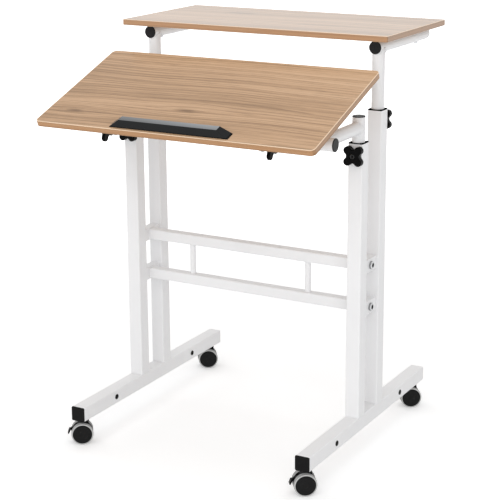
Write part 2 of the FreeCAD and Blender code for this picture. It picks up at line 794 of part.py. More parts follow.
def caster_wheel(face):
    """One wheel: grey tyre round a hub with a smooth outer cover and a blind bore for the axle."""
    start = V(caster_trail, wheel_inner, wheel_radius)
    end = V(caster_trail, wheel_outer, wheel_radius)
    cover = V(caster_trail, wheel_outer + hub_proud, wheel_radius)
    hub_radius = wheel_radius - tyre_depth
    ring = cylinder(wheel_radius, start, end)
    rims = [edge for edge in ring.Edges if edge.BoundBox.YLength < wheel_width / 2]
    ring = ring.makeFillet(tyre_round, rims)
    tyre = ring.cut(cylinder(hub_radius, start, end))
    hub = cylinder(hub_radius, start, cover)
    hub = hub.makeFillet(hub_round, [edge for edge in hub.Edges if edge.BoundBox.YMin > wheel_outer])
    bore_end = V(caster_trail, wheel_outer - axle_end_cover, wheel_radius)
    hub = hub.cut(cylinder(axle_radius + axle_fit, start, bore_end))
    wheel = Part.makeCompound([tyre, hub])
    if face < 0:
        wheel = wheel.mirror(ORIGIN, AXIS_Y)
    return wheel


# All nodes

def frame_nodes():
    """Pieces of the standing frame."""
    return {
        "left_foot": foot(-1), "right_foot": foot(1),
        "left_front_post": post(-1, -1, front_post_top), "left_rear_post": post(-1, 1, rear_post_top),
        "right_front_post": post(1, -1, front_post_top), "right_rear_post": post(1, 1, rear_post_top),
        "upper_crossbar": crossbar(upper_bar_height), "lower_crossbar": crossbar(lower_bar_height),
        "crossbar_rods": crossbar_rods(), "post_spacers": post_spacers(), "crossbar_bolts": crossbar_bolts(),
        "foot_end_caps": foot_end_caps(), "foot_hole_plugs": foot_hole_plugs(), "post_bushes": post_bushes(),
        "knob_nuts": knob_nuts(), "caster_stems": caster_stems(),
    }


def knob_nodes():
    """Clamp knobs of the four posts and lock knobs of the desktop tilt."""
    return {
        "left_front_knob": clamp_knob(-1, -1, front_post_top),
        "right_front_knob": clamp_knob(1, -1, front_post_top),
        "left_rear_knob": clamp_knob(-1, 1, rear_post_top),
        "right_rear_knob": clamp_knob(1, 1, rear_post_top),
        "left_tilt_knob": mirrored(tilt_knob()), "right_tilt_knob": tilt_knob(),
    }


def lift_nodes():
    """Sliding tubes with the upper shelf, and sliding tubes with the desktop."""
    return {
        "left_rear_riser": rear_riser(-1), "right_rear_riser": rear_riser(1),
        "left_shelf_rail": shelf_rail(-1), "right_shelf_rail": shelf_rail(1),
        "shelf_rail_caps": shelf_rail_caps(), "upper_shelf": upper_shelf(), "shelf_screws": shelf_screws(),
        "left_front_riser": front_riser(-1), "right_front_riser": front_riser(1),
        "left_arm": arm(-1), "right_arm": arm(1), "cross_tube": cross_tube(),
        "lift_tube_caps": lift_tube_caps(), "hinge_tabs": hinge_tabs(), "hinge_bolts": hinge_bolts(),
        "desktop_board": desktop_board(), "left_tilt_bracket": mirrored(tilt_bracket()),
        "right_tilt_bracket": tilt_bracket(), "desktop_screws": desktop_screws(), "book_stop": book_stop(),
    }


def caster_nodes():
    """Housing, axle, two wheels and, in front, the brake lever of each caster."""
    nodes = {}
    for name, side, end in (("front_left", -1, -1), ("front_right", 1, -1),
                            ("rear_left", -1, 1), ("rear_right", 1, 1)):
        nodes[name + "_caster_housing"] = placed_caster(caster_housing(end < 0), side, end)
        nodes[name + "_caster_axle"] = placed_caster(caster_axle(), side, end)
        nodes[name + "_wheel_a"] = placed_caster(caster_wheel(1), side, end)
        nodes[name + "_wheel_b"] = placed_caster(caster_wheel(-1), side, end)
        if end < 0:
            nodes[name + "_brake_lever"] = placed_caster(brake_lever(), side, end)
    return nodes


def middle_shift():
    """Shift along Y that puts the middle of the desktop's front and the shelf's back on y = 0."""
    eased = board_arris * (math.cos(tilt_radians) + math.sin(tilt_radians) - 1)
    return (desk_front_reach - eased - shelf_back) / 2


os.makedirs("parts", exist_ok=True)
all_nodes = {**frame_nodes(), **knob_nodes(), **lift_nodes(), **caster_nodes()}
shift = middle_shift()
for node, shape in all_nodes.items():
    if not shape.isValid():
        print("not valid:", node)
    placed = moved(shape, 0, shift, 0)
    placed.exportStep("parts/" + node + ".step")
    print(node, len(placed.Solids), round(placed.Volume), placed.BoundBox)
print("nodes", len(all_nodes), "shift", shift, "pivot", pivot_y + shift, pivot_z)
print("post tops", front_post_top, rear_post_top, "arm", arm_height, "foot clearance", foot_clearance)
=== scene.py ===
import json
import logging
import math
from dataclasses import dataclass
from enum import Enum
from typing import Any, Mapping, Sequence, Union

import bmesh
import bpy
from mathutils import Matrix, Vector


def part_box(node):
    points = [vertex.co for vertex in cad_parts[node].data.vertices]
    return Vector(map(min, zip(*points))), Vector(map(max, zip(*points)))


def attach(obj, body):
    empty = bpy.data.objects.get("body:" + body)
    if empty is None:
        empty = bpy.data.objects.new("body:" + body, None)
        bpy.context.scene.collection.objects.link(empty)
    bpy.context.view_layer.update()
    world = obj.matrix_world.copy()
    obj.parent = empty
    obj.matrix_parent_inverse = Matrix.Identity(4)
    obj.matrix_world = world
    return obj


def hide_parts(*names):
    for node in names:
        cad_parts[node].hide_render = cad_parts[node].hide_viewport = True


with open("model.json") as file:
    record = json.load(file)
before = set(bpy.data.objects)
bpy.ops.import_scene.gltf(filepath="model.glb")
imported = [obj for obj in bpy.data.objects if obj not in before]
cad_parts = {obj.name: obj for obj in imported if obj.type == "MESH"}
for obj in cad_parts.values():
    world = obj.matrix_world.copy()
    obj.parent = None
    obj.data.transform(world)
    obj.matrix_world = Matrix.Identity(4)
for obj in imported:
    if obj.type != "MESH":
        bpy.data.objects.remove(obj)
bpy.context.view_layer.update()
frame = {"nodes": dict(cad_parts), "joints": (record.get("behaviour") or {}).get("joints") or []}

Number = Union[float, "Wire"]
Point = tuple[float, float, float]
Colour = tuple[float, float, float, float]
Span = tuple[float, float]
Outline = tuple[Span, ...]

JOINTS = {joint["name"]: joint for joint in frame["joints"]}
LOG = logging.getLogger("rolling_desk")
SIDES = ("left", "right")
RIGHT = Vector((1.0, 0.0, 0.0))
BACK = Vector((0.0, 1.0, 0.0))
UP = Vector((0.0, 0.0, 1.0))
WHITE = (1.0, 1.0, 1.0, 1.0)

# Lengths in metres and angles in radians, apart from the spun outlines, which are in millimetres
MM = 0.001
MERGE_REACH = 1e-6
FINE_DEPTH = 0.0001
BOARD_THICKNESS = 0.012
DESK_TILT = math.radians(20.0)


# Colours and shader graphs

@dataclass(frozen=True)
class Tint:
    """A colour written as eight-bit sRGB, as read off a swatch."""

    red: float
    green: float
    blue: float

    def linear(self, share: float = 1.0) -> Colour:
        """Return the colour as linear RGB with full alpha.

        Args:
            share: brightness of the result beside the written colour.

        Returns:
            The linear colour.
        """
        def channel(value: float) -> float:
            """Return one channel in linear light, by the sRGB curve."""
            part = value / 255.0
            return share * (part / 12.92 if part <= 0.04045 else ((part + 0.055) / 1.055) ** 2.4)

        return (channel(self.red), channel(self.green), channel(self.blue), 1.0)


@dataclass(frozen=True)
class Pattern:
    """A noise texture: its frequency per metre, its number of finer layers and their weight."""

    scale: float
    detail: float = 2.0
    roughness: float = 0.5


class Wire:
    """A node's output that takes part in Python arithmetic by adding Math nodes."""

    def __init__(self, graph: "Graph", socket: bpy.types.NodeSocket) -> None:
        """Keep the graph that the socket belongs to."""
        self.graph = graph
        self.socket = socket

    def _math(self, operation: str, first: Number, second: Number = 0.0) -> "Wire":
        """Add one Math node.

        Args:
            operation: the Math node's operation.
            first: its first value or link.
            second: its second value or link.

        Returns:
            The node's value.
        """
        return self.graph.node("ShaderNodeMath", {"operation": operation}, {0: first, 1: second})

    def __add__(self, other: Number) -> "Wire":
        """Sum."""
        return self._math("ADD", self, other)

    def __radd__(self, other: Number) -> "Wire":
        """Sum, reflected."""
        return self._math("ADD", other, self)

    def __sub__(self, other: Number) -> "Wire":
        """Difference."""
        return self._math("SUBTRACT", self, other)

    def __rsub__(self, other: Number) -> "Wire":
        """Difference, reflected."""
        return self._math("SUBTRACT", other, self)

    def __mul__(self, other: Number) -> "Wire":
        """Product."""
        return self._math("MULTIPLY", self, other)

    def __rmul__(self, other: Number) -> "Wire":
        """Product, reflected."""
        return self._math("MULTIPLY", other, self)

    def __truediv__(self, other: Number) -> "Wire":
        """Quotient."""
        return self._math("DIVIDE", self, other)

    def __pow__(self, other: Number) -> "Wire":
        """Power."""
        return self._math("POWER", self, other)

    def __abs__(self) -> "Wire":
        """Absolute value."""
        return self._math("ABSOLUTE", self)

    def above(self, limit: Number) -> "Wire":
        """Return 1 where the value is above the limit and 0 elsewhere."""
        return self._math("GREATER_THAN", self, limit)

    def most(self, other: Number) -> "Wire":
        """Return the larger of two values."""
        return self._math("MAXIMUM", self, other)

    def least(self, other: Number) -> "Wire":
        """Return the smaller of two values."""
        return self._math("MINIMUM", self, other)

    def tooth(self) -> "Wire":
        """Return the part of the value after the point, a saw-tooth."""
        return self._math("FRACT", self)

    def exp(self) -> "Wire":
        """Return e to the power of the value."""
        return self._math("EXPONENT", self)

    def root(self) -> "Wire":
        """Return the square root of the value."""
        return self._math("SQRT", self)

    def about(self, middle: float, spread: float) -> "Wire":
        """Return a value that varies about a middle as this one goes from 0 to 1."""
        return self * spread + (middle - spread / 2.0)

    def ease(self, low: float, high: float) -> "Wire":
        """Return a value that eases from 0 to 1 as this one goes from low to high."""
        return self.graph.node("ShaderNodeMapRange", {"interpolation_type": "SMOOTHSTEP"},
                               {"Value": self, "From Min": low, "From Max": high})


class Graph:
    """The node tree of one material or of the world."""

    def __init__(self, tree: bpy.types.NodeTree) -> None:
        """Empty the tree and keep it."""
        self.tree = tree
        self.tree.nodes.clear()

    def node(self, kind: str, settings: Mapping[str, Any] | None = None,
             inputs: Mapping[Any, Any] | None = None, output: Any = 0) -> Wire:
        """Add a node of any type.

        Args:
            kind: the node's type.
            settings: its properties, set before its sockets; "stops" are a colour ramp's places and colours.
            inputs: values or links by the socket's name or number.
            output: name or number of the output to hand back.

        Returns:
            The chosen output.
        """
        made = self.tree.nodes.new(kind)
        for name, value in (settings or {}).items():
            if name == "stops":
                self._set_stops(made.color_ramp, value)
            else:
                setattr(made, name, value)
        for key, value in (inputs or {}).items():
            if isinstance(value, Wire):
                self.tree.links.new(value.socket, made.inputs[key])
            else:
                made.inputs[key].default_value = value
        return Wire(self, made.outputs[output]) if len(made.outputs) else Wire(self, made.inputs[0])

    @staticmethod
    def _set_stops(ramp: bpy.types.ColorRamp, stops: Sequence[tuple[float, Tint]]) -> None:
        """Write a ramp's stops.

        Args:
            ramp: the ramp to write.
            stops: places along it with their colours.
        """
        while len(ramp.elements) > len(stops):
            ramp.elements.remove(ramp.elements[-1])
        while len(ramp.elements) < len(stops):
            ramp.elements.new(1.0)
        for element, (place, tint) in zip(ramp.elements, stops):
            element.position = place
            element.color = tint.linear()

    def mix(self, share: Number, first: Any, second: Any) -> Wire:
        """Mix two colours.

        Args:
            share: how much of the second colour shows.
            first: a colour or a link.
            second: a colour or a link.

        Returns:
            The mixed colour.
        """
        return self.node("ShaderNodeMix", {"data_type": "RGBA"}, {0: share, 6: first, 7: second}, 2)

    def place(self) -> Wire:
        """Return the object coordinates."""
        return self.node("ShaderNodeTexCoord", output="Object")

    def facing(self) -> Wire:
        """Return the object's normals."""
        return self.node("ShaderNodeTexCoord", output="Normal")

    def split(self, vector: Wire) -> tuple[Wire, Wire, Wire]:
        """Return the three parts of a vector."""
        outputs = self.node("ShaderNodeSeparateXYZ", None, {0: vector}).socket.node.outputs
        return (Wire(self, outputs[0]), Wire(self, outputs[1]), Wire(self, outputs[2]))

    def join(self, x: Number, y: Number, z: Number) -> Wire:
        """Return three values as a vector."""
        return self.node("ShaderNodeCombineXYZ", None, {0: x, 1: y, 2: z})

    def noise(self, vector: Wire, pattern: Pattern) -> Wire:
        """Add a noise texture.

        Args:
            vector: where the noise is read.
            pattern: its frequency and detail.

        Returns:
            The noise, about 0 to 1.
        """
        inputs = {"Vector": vector, "Scale": pattern.scale, "Detail": pattern.detail,
                  "Roughness": pattern.roughness}
        return self.node("ShaderNodeTexNoise", None, inputs, "Fac")

    def clouded(self, tint: Tint, share: float, cloud: Wire) -> Wire:
        """Return a tint that goes over to a share of its brightness as a cloud rises from 0 to 1."""
        return self.mix(cloud, tint.linear(), tint.linear(share))

    def bump(self, height: Wire, strength: float, distance: float = FINE_DEPTH) -> Wire:
        """Turn a height into a normal.

        Args:
            height: the height pattern.
            strength: how strongly it shows.
            distance: depth in metres of a height of one.

        Returns:
            The bumped normal.
        """
        return self.node("ShaderNodeBump", None,
                         {"Height": height, "Strength": strength, "Distance": distance})

    def surface(self, inputs: Mapping[str, Any]) -> None:
        """Close the graph with a principled surface.

        Args:
            inputs: the surface's values and links by socket name.
        """
        self.close(self.node("ShaderNodeBsdfPrincipled", None, inputs))

    def close(self, shader: Wire, kind: str = "ShaderNodeOutputMaterial") -> None:
        """Link a shader to the tree's output node.

        Args:
            shader: the finished shader.
            kind: the output node's type.
        """
        self.node(kind, None, {"Surface": shader})


def new_material(name: str) -> tuple[bpy.types.Material, Graph]:
    """Make an empty material.

    Args:
        name: its name.

    Returns:
        The material and its graph.
    """
    material = bpy.data.materials.new(name)
    material.use_nodes = True
    return material, Graph(material.node_tree)


# Finishes

@dataclass(frozen=True)
class PowderCoat:
    """Sprayed powder paint on steel tube: nearly even colour with a faint orange peel."""

    name: str
    tint: Tint
    roughness: float = 0.4
    specular: float = 0.4
    roughness_spread: float = 0.12
    cloud: Pattern = Pattern(9.0, 3.0)
    cloud_span: Span = (0.25, 0.75)
    cloud_share: float = 0.97
    peel: Pattern = Pattern(620.0)
    peel_strength: float = 0.16
    peel_depth: float = 0.00025

    def make(self) -> bpy.types.Material:
        """Make the paint.

        Returns:
            The material.
        """
        material, graph = new_material(self.name)
        place = graph.place()
        cloud = graph.noise(place, self.cloud)
        peel = graph.noise(place, self.peel)
        graph.surface({"Base Color": graph.clouded(self.tint, self.cloud_share, cloud.ease(*self.cloud_span)),
                       "Roughness": cloud.about(self.roughness, self.roughness_spread),
                       "Specular IOR Level": self.specular,
                       "Normal": graph.bump(peel, self.peel_strength, self.peel_depth)})
        return material


@dataclass(frozen=True)
class MouldedPlastic:
    """Injection-moulded plastic with a fine spark-eroded texture."""

    name: str
    tint: Tint
    roughness: float
    specular: float
    roughness_spread: float = 0.1
    cloud: Pattern = Pattern(38.0, 3.0)
    cloud_span: Span = (0.3, 0.8)
    cloud_weight: float = 0.6
    cloud_share: float = 1.5
    grain: Pattern = Pattern(1900.0, 1.0)
    grain_strength: float = 0.12

    def make(self) -> bpy.types.Material:
        """Make the plastic.

        Returns:
            The material.
        """
        material, graph = new_material(self.name)
        place = graph.place()
        cloud = graph.noise(place, self.cloud)
        grain = graph.noise(place, self.grain)
        shown = cloud.ease(*self.cloud_span) * self.cloud_weight
        graph.surface({"Base Color": graph.clouded(self.tint, self.cloud_share, shown),
                       "Roughness": cloud.about(self.roughness, self.roughness_spread),
                       "Specular IOR Level": self.specular,
                       "Normal": graph.bump(grain, self.grain_strength)})
        return material


@dataclass(frozen=True)
class StopPlastic:
    """Book stop: satin black with a coated top face painted paler as a reflection, lighter towards the right
    and the back, and painted shade in a dark line along its foot.
    """

    name: str
    board: str
    side: Tint
    # painted shade: colour of the dark line along the foot
    foot: Tint
    # painted reflection: colour of the top face
    top: Tint
    tilt: float = DESK_TILT
    thickness: float = BOARD_THICKNESS
    top_front: float = 0.0105
    top_back: float = 0.025
    # painted reflection on the top face: its shares at the front and back, and its spread from left to right
    front_reflection_shares: Span = (0.35, 1.0)
    back_reflection_shares: Span = (0.8, 1.6)
    painted_sheen_span: Span = (-0.13, 0.1)
    upward_span: Span = (0.88, 0.97)
    # painted shade line along the foot: its height and how far it blends
    foot_shade_line: float = 0.0014
    foot_shade_fade: float = 1.6
    roughness: float = 0.2
    roughness_spread: float = 0.08
    specular: float = 0.1
    coat_roughness: float = 0.1
    cloud: Pattern = Pattern(38.0, 3.0)
    cloud_span: Span = (0.3, 0.8)
    cloud_weight: float = 0.6
    cloud_share: float = 1.2
    grain: Pattern = Pattern(900.0, 1.0)
    grain_strength: float = 0.04

    def make(self) -> bpy.types.Material:
        """Make the plastic, measured from the middle of the board's front top edge.

        Returns:
            The material.
        """
        material, graph = new_material(self.name)
        place = graph.place()
        x, y, z = graph.split(place)
        _, facing_y, facing_z = graph.split(graph.facing())
        cosine, sine = math.cos(self.tilt), math.sin(self.tilt)
        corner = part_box(self.board)[0]
        behind = y - corner.y
        above = z - (corner.z + self.thickness * cosine)
        rise = above * cosine - behind * sine
        depth = behind * cosine + above * sine
        upward = (facing_z * cosine - facing_y * sine).ease(*self.upward_span)
        cloud = graph.noise(place, self.cloud)
        grain = graph.noise(place, self.grain)
        shown = cloud.ease(*self.cloud_span) * self.cloud_weight
        side = graph.clouded(self.side, self.cloud_share, shown)
        # Painted shade: a dark line along the foot, where the stop meets the board.
        side = graph.mix(rise.ease(self.foot_shade_line, self.foot_shade_line * self.foot_shade_fade), self.foot.linear(), side)
        # Painted reflection on the top face: paler towards the right and towards the back.
        painted_sheen = x.ease(*self.painted_sheen_span)
        front, back = (graph.mix(painted_sheen, self.top.linear(left), self.top.linear(right))
                       for left, right in (self.front_reflection_shares, self.back_reflection_shares))
        top = graph.mix(depth.ease(self.top_front, self.top_back), front, back)
        graph.surface({"Base Color": graph.mix(upward, side, top),
                       "Roughness": cloud.about(self.roughness, self.roughness_spread),
                       "Specular IOR Level": self.specular,
                       "Coat Weight": upward, "Coat Roughness": self.coat_roughness,
                       "Normal": graph.bump(grain, self.grain_strength)})
        return material


@dataclass(frozen=True)
class FootCapPlastic:
    """End plugs of the feet: black at the front ends and white at the rear ends."""

    name: str
    front: Tint
    rear: Tint
    front_share: float = 1.6
    rear_share: float = 0.95
    roughness: float = 0.45
    roughness_spread: float = 0.1
    specular: float = 0.1
    cloud: Pattern = Pattern(60.0, 3.0)
    grain: Pattern = Pattern(1900.0, 1.0)
    grain_strength: float = 0.1

    def make(self) -> bpy.types.Material:
        """Make the plastic.

        Returns:
            The material.
        """
        material, graph = new_material(self.name)
        place = graph.place()
        _, y, _ = graph.split(place)
        cloud = graph.noise(place, self.cloud)
        grain = graph.noise(place, self.grain)
        front = graph.clouded(self.front, self.front_share, cloud)
        rear = graph.clouded(self.rear, self.rear_share, cloud)
        graph.surface({"Base Color": graph.mix(y.above(0.0), front, rear),
                       "Roughness": cloud.about(self.roughness, self.roughness_spread),
                       "Specular IOR Level": self.specular,
                       "Normal": graph.bump(grain, self.grain_strength)})
        return material


@dataclass(frozen=True)
class TreadRubber:
    """Grey wheel tread: soft and dull, scuffed, with painted shade that makes its rolling face and rounded
    rims darker than its side.
    """

    name: str
    tint: Tint
    wheel: str
    # real scuffs and painted shade darken the tint to this share
    scuff_and_shade_share: float = 0.5
    scuff_span: Span = (0.5, 0.85)
    scuff_weight: float = 0.5
    side_span: Span = (0.6, 1.0)
    # strength of the painted shade on the rolling face and rims
    running_shade_weight: float = 0.85
    roughness: float = 0.65
    roughness_spread: float = 0.2
    scuff: Pattern = Pattern(240.0, 4.0, 0.65)
    grain: Pattern = Pattern(1500.0)
    grain_strength: float = 0.15

    def make(self) -> bpy.types.Material:
        """Make the rubber.

        Returns:
            The material.
        """
        material, graph = new_material(self.name)
        place = graph.place()
        scuff = graph.noise(place, self.scuff)
        grain = graph.noise(place, self.grain)
        axle = JOINTS[self.wheel + "_roll"]["axis"]
        facing_x, facing_y, _ = graph.split(graph.facing())
        # Painted shade: faces that turn away from the axle, the rolling face and rounded rims, go darker; the
        # scuffs are wear.
        running_shade = 1.0 - abs(facing_x * axle[0] + facing_y * axle[1]).ease(*self.side_span)
        scuff_and_shade = scuff.ease(*self.scuff_span) * self.scuff_weight + running_shade * self.running_shade_weight
        graph.surface({"Base Color": graph.clouded(self.tint, self.scuff_and_shade_share, scuff_and_shade.least(1.0)),
                       "Roughness": scuff.about(self.roughness, self.roughness_spread),
                       "Normal": graph.bump(grain, self.grain_strength)})
        return material


@dataclass(frozen=True)
class ZincPlate:
    """Bright zinc on small steel parts, slightly clouded."""

    name: str
    tint: Tint
    metallic: float = 0.95
    roughness: float = 0.33
    roughness_spread: float = 0.22
    cloud: Pattern = Pattern(210.0, 4.0, 0.6)
    cloud_span: Span = (0.35, 0.75)
    cloud_share: float = 0.8
    cloud_strength: float = 0.08

    def make(self) -> bpy.types.Material:
        """Make the plating.

        Returns:
            The material.
        """
        material, graph = new_material(self.name)
        cloud = graph.noise(graph.place(), self.cloud)
        colour = graph.clouded(self.tint, self.cloud_share, cloud.ease(*self.cloud_span))
        graph.surface({"Base Color": colour, "Metallic": self.metallic,
                       "Roughness": cloud.about(self.roughness, self.roughness_spread),
                       "Normal": graph.bump(cloud, self.cloud_strength)})
        return material


@dataclass(frozen=True)
class SocketBoltZinc:
    """Zinc of the button heads, with painted shade in the hex socket and round the rim."""

    name: str
    node: str
    tint: Tint
    shade: Tint
    socket_radius: float
    rim_radius: float
    socket_fade: float = 1.12
    rim_fade: float = 1.08
    metallic: float = 0.9
    metallic_loss: float = 0.6
    roughness: float = 0.34
    roughness_spread: float = 0.2
    roughness_gain: float = 0.2
    cloud: Pattern = Pattern(260.0, 4.0, 0.6)
    cloud_span: Span = (0.35, 0.75)
    cloud_share: float = 0.82
    cloud_strength: float = 0.08

    def make(self) -> bpy.types.Material:
        """Make the plating, shaded by the distance from the axes of the upper and lower bolts.

        Returns:
            The material.
        """
        material, graph = new_material(self.name)
        place = graph.place()
        _, y, z = graph.split(place)
        low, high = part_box(self.node)
        head = (high.y - low.y) / 2.0
        beside = (y - (low.y + head)) ** 2.0
        upper = (beside + (z - (high.z - head)) ** 2.0).root()
        lower = (beside + (z - (low.z + head)) ** 2.0).root()
        radius = upper.least(lower)
        # Painted shade: a dark disc in each hex socket and a dark ring round each head's rim, also less
        # metallic and rougher there.
        socket = 1.0 - radius.ease(self.socket_radius, self.socket_radius * self.socket_fade)
        dark = socket.most(radius.ease(self.rim_radius, self.rim_radius * self.rim_fade))
        cloud = graph.noise(place, self.cloud)
        colour = graph.clouded(self.tint, self.cloud_share, cloud.ease(*self.cloud_span))
        graph.surface({"Base Color": graph.mix(dark, colour, self.shade.linear()),
                       "Metallic": self.metallic - self.metallic_loss * dark,
                       "Roughness": (cloud.about(self.roughness, self.roughness_spread)
                                     + self.roughness_gain * dark),
                       "Normal": graph.bump(cloud, self.cloud_strength)})
        return material


@dataclass(frozen=True)
class Knot:
    """A small knot in the grain, by its place on the board and its reach, in metres."""

    x: float
    y: float
    length: float
    width: float


@dataclass(frozen=True)
class GrainLayer:
    """A layer of noise in the grain: its frequency each way, its detail and its weight in the tone."""

    along: float
    across: float
    pattern: Pattern = Pattern(1.0)
    weight: float = 0.0
    seed_share: float = 0.0
    shift: float = 0.0


@dataclass(frozen=True)
class RingLayer:
    """A set of growth rings: how many to the metre, how they wander and how each darkens to its peak."""

    rings: float
    wander: float
    jitter: float
    start: float
    peak: float
    shade: float
    line_power: float
    line_weight: float

    def rise(self, across: Wire, broad: Wire, streak: Wire) -> Wire:
        """Return the rings, each rising from 0 to 1 at its peak."""
        saw = (across * self.rings + broad * self.wander + streak * self.jitter).tooth()
        return saw.ease(self.start, self.peak) * (1.0 - saw.ease(self.peak, 1.0))

    def line(self, ring: Wire) -> Wire:
        """Return the dark line at the peak of each ring."""
        return ring ** self.line_power * self.line_weight


@dataclass(frozen=True)
class WoodLaminate:
    """Printed wood-grain laminate: long growth lines along the board and a few knots, with painted shade on
    the edge bands and, where set, towards the left end, and a painted highlight along the arris.
    """

    name: str
    node: str
    tilt: float
    depth: float
    corner_radius: float
    knots: tuple[Knot, ...]
    seed: float
    specular: float
    coat: float
    lightness: float
    # painted shade: tone slope along the board, darker towards the left end where set
    painted_shade_slope: float
    thickness: float = BOARD_THICKNESS
    pale: Tint = Tint(209, 174, 140)
    middle: Tint = Tint(190, 154, 120)
    dark: Tint = Tint(150, 119, 89)
    dark_tone: float = 0.12
    middle_tone: float = 0.5
    pale_tone: float = 0.88
    line: Tint = Tint(102, 79, 58)
    line_limit: float = 0.85
    band: Tint = Tint(168, 124, 86)
    band_weight: float = 0.7
    # lit and shaded copies of the band colour, painted shade
    band_lit_and_shaded_shares: Span = (1.2, 0.7)
    # painted highlight along the arris: its colour, strength, width, blur and drop down the edge
    arris: Tint = Tint(236, 209, 180)
    arris_highlight_weight: float = 0.95
    arris_highlight_width: float = 0.0015
    arris_highlight_blur: float = 0.25
    arris_highlight_drop: float = 0.0011
    drift: GrainLayer = GrainLayer(1.7, 3.0, seed_share=1.0)
    drift_reach: float = 0.036
    broad: GrainLayer = GrainLayer(0.55, 14.0, weight=1.2, seed_share=1.0)
    streaks: GrainLayer = GrainLayer(1.2, 115.0, Pattern(1.0, 3.0, 0.7), weight=0.5, shift=3.0)
    fibres: GrainLayer = GrainLayer(6.0, 360.0, Pattern(1.0, 4.0, 0.7), weight=1.1)
    fibre_gaps: Span = (0.33, 0.41)
    fibre_line: float = 0.3
    fibre_height: float = 0.6
    pores: GrainLayer = GrainLayer(34.0, 1250.0)
    pore_gaps: Span = (0.34, 0.42)
    pore_line: float = 0.2
    pore_late_line: float = 0.3
    pore_height: float = 0.4
    late_wood: RingLayer = RingLayer(rings=33.0, wander=4.4, jitter=0.3, start=0.05, peak=0.97, shade=0.28,
                                     line_power=9.0, line_weight=0.4)
    late_span: Span = (0.3, 0.7)
    late_least: float = 0.35
    late_height: float = 0.3
    thin_rings: RingLayer = RingLayer(rings=105.0, wander=9.0, jitter=0.5, start=0.55, peak=0.95, shade=0.22,
                                      line_power=3.0, line_weight=0.1)
    knot_fall: float = 0.45
    knot_pull: float = 0.62
    eye_fall: float = 9.0
    eye_shade: float = 0.4
    edge_run: float = 1.4
    end_facing: float = 0.6
    end_shade: float = 0.6
    flat_facing: Span = (0.2, 0.5)
    roughness: float = 0.31
    roughness_spread: float = 0.14
    coat_roughness: float = 0.16
    grain_strength: float = 0.12
    grain_depth: float = 0.0002

    def _board_space(self, graph: Graph) -> tuple[Wire, Wire]:
        """Turn object coordinates and normals into the board's frame, from the middle of its front top edge.

        Args:
            graph: the material's graph.

        Returns:
            Place and normal as seen along the board.
        """
        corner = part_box(self.node)[0]
        front_top = Vector((0.0, corner.y, corner.z + self.thickness * math.cos(self.tilt)))
        turn = (-self.tilt, 0.0, 0.0)
        start = Matrix.Rotation(-self.tilt, 3, "X") @ front_top
        place = graph.node("ShaderNodeMapping", {"vector_type": "POINT"},
                           {"Vector": graph.place(), "Rotation": turn, "Location": -start})
        facing = graph.node("ShaderNodeMapping", {"vector_type": "VECTOR"},
                            {"Vector": graph.facing(), "Rotation": turn})
        return place, facing

    def _noise(self, graph: Graph, layer: GrainLayer, along: Wire, across: Wire) -> Wire:
        """Add one layer of the grain's noise.

        Args:
            graph: the material's graph.
            layer: the layer's frequencies and detail.
            along: distance along the grain.
            across: distance across the grain.

        Returns:
            The noise, about 0 to 1.
        """
        vector = graph.join(along * layer.along + self.seed * layer.seed_share, across * layer.across,
                            self.seed + layer.shift)
        return graph.noise(vector, layer.pattern)

    def _flow(self, graph: Graph, along: Wire, across: Wire) -> tuple[Wire, Number]:
        """Bend the grain slowly and round the knots.

        Args:
            graph: the material's graph.
            along: distance along the grain.
            across: distance across the grain.

        Returns:
            The bent distance across the grain, and how much of a knot is at each place.
        """
        bent = across + (self._noise(graph, self.drift, along, across) - 0.5) * self.drift_reach
        eyes: Number = 0.0
        for knot in self.knots:
            near = ((along - knot.x) / knot.length) ** 2.0 + ((across - knot.y) / knot.width) ** 2.0
            bent = bent - (across - knot.y) * (near * -self.knot_fall).exp() * self.knot_pull
            eyes = eyes + (near * -self.eye_fall).exp()
        return bent, eyes

    def _grain(self, graph: Graph, along: Wire, across: Wire) -> tuple[Wire, Wire, Wire]:
        """Print the grain.

        Args:
            graph: the material's graph.
            along: distance along the grain.
            across: distance across the grain.

        Returns:
            The grain's colour, its fibres and its height.
        """
        bent, eyes = self._flow(graph, along, across)
        broad, streak, fibre, pore = (self._noise(graph, layer, along, bent) for layer in
                                      (self.broad, self.streaks, self.fibres, self.pores))
        late = self.late_wood.rise(bent, broad, streak)
        late = late * (self.late_least + broad.ease(*self.late_span) * (1.0 - self.late_least))
        thin = self.thin_rings.rise(bent, broad, streak)
        # The slope along the board is painted shade, darker towards the left end where set.
        tone = (self.lightness + along * self.painted_shade_slope + (broad - 0.5) * self.broad.weight
                + (streak - 0.5) * self.streaks.weight + (fibre - 0.5) * self.fibres.weight
                - late * self.late_wood.shade - thin * self.thin_rings.shade - eyes * self.eye_shade)
        stops = ((self.dark_tone, self.dark), (self.middle_tone, self.middle), (self.pale_tone, self.pale))
        colour = graph.node("ShaderNodeValToRGB", {"stops": stops}, {"Fac": tone}, "Color")
        lines = (self.late_wood.line(late) + self.thin_rings.line(thin)
                 + (1.0 - fibre.ease(*self.fibre_gaps)) * self.fibre_line + eyes * self.eye_shade
                 + (1.0 - pore.ease(*self.pore_gaps)) * (self.pore_line + late * self.pore_late_line))
        colour = graph.mix(lines.least(self.line_limit), colour, self.line.linear())
        height = fibre * self.fibre_height + pore * self.pore_height - late * self.late_height
        return colour, fibre, height

    def _arris_highlight_outline(self, x: Wire, y: Wire) -> Wire:
        """Return 1 within the painted highlight's width of the board's outline, a rectangle with round
        corners.

        Args:
            x: distance from the board's middle.
            y: distance from its front edge.

        Returns:
            The mask.
        """
        half_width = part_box(self.node)[1].x
        side = abs(x) - (half_width - self.corner_radius)
        end = abs(y - self.depth / 2.0) - (self.depth / 2.0 - self.corner_radius)
        corner = (side.most(0.0) ** 2.0 + end.most(0.0) ** 2.0).root()
        inside = corner + side.most(end).least(0.0) - self.corner_radius
        blur = self.arris_highlight_width * self.arris_highlight_blur
        return inside.ease(-self.arris_highlight_width - blur, blur - self.arris_highlight_width)

